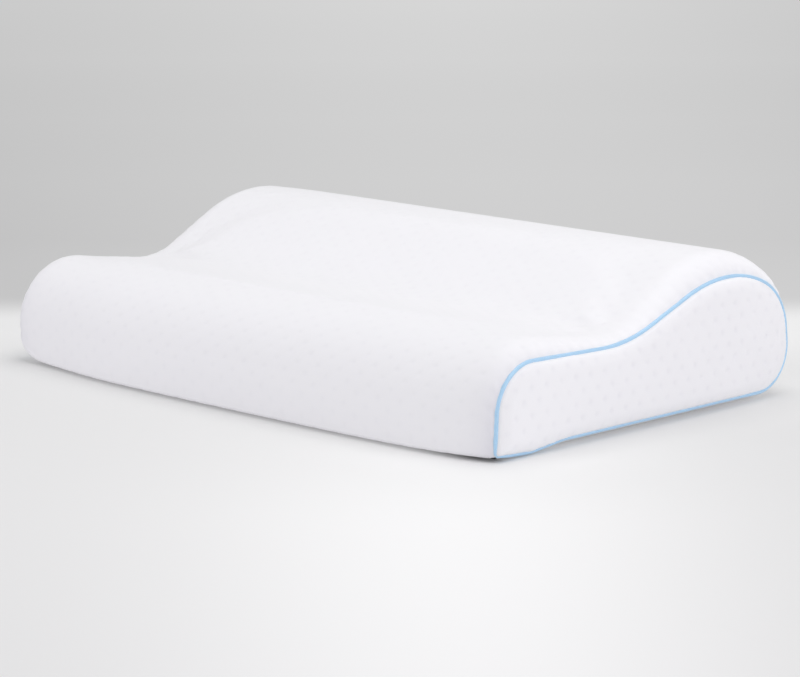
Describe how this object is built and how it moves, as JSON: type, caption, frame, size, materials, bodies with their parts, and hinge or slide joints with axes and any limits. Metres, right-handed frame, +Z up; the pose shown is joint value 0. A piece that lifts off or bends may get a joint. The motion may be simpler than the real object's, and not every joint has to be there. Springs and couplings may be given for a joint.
{
  "type": "bed pillow",
  "caption": "Contour foam bed pillow with a low front lobe, a valley and a high rear lobe, in a knit cover with piped ends and a zip under the front edge.",
  "frame": {"origin": "on the surface the pillow rests on, under the middle of its bounding box", "axes": "+X along the pillow's length, +Y from the low front lobe to the high rear lobe, +Z up"},
  "size_m": [0.6, 0.3875, 0.132],
  "materials": {
    "foam": "open-cell viscoelastic polyurethane foam",
    "liner_knit": "thin plain stretch knit",
    "cover_knit": "white padded jacquard knit with small staggered dimples",
    "piping_fabric": "light blue satin bias tape",
    "piping_cord": "white twisted cotton cord",
    "zip_tape": "white woven polyester tape",
    "zip_coil": "white moulded nylon coil",
    "zip_metal": "black enamel"
  },
  "bodies": {
    "pillow": {"foam_core": "foam", "liner_wrap": "liner_knit", "liner_left_end": "liner_knit", "liner_right_end": "liner_knit", "top_panel": "cover_knit", "bottom_panel": "cover_knit", "left_end_panel": "cover_knit", "right_end_panel": "cover_knit", "left_piping": "piping_fabric", "right_piping": "piping_fabric", "left_piping_cord": "piping_cord", "right_piping_cord": "piping_cord", "zip_tape_front": "zip_tape", "zip_tape_rear": "zip_tape", "zip_coil_front": "zip_coil", "zip_coil_rear": "zip_coil", "zip_end_stop": "zip_metal"},
    "slider": {"zip_slider": "zip_metal"},
    "pull_tab": {"zip_pull_tab": "zip_metal"}
  },
  "joints": [
    {"name": "zip_slide", "type": "slide", "parent": "pillow", "child": "slider", "axis": [-1, 0, 0], "range_m": [0, 0.546]},
    {"name": "tab_swing", "type": "hinge", "parent": "slider", "child": "pull_tab", "pos_m": [0.283, -0.176, 0.00282], "axis": [0, -1, 0], "range_deg": [-4, 135]}
  ]
}
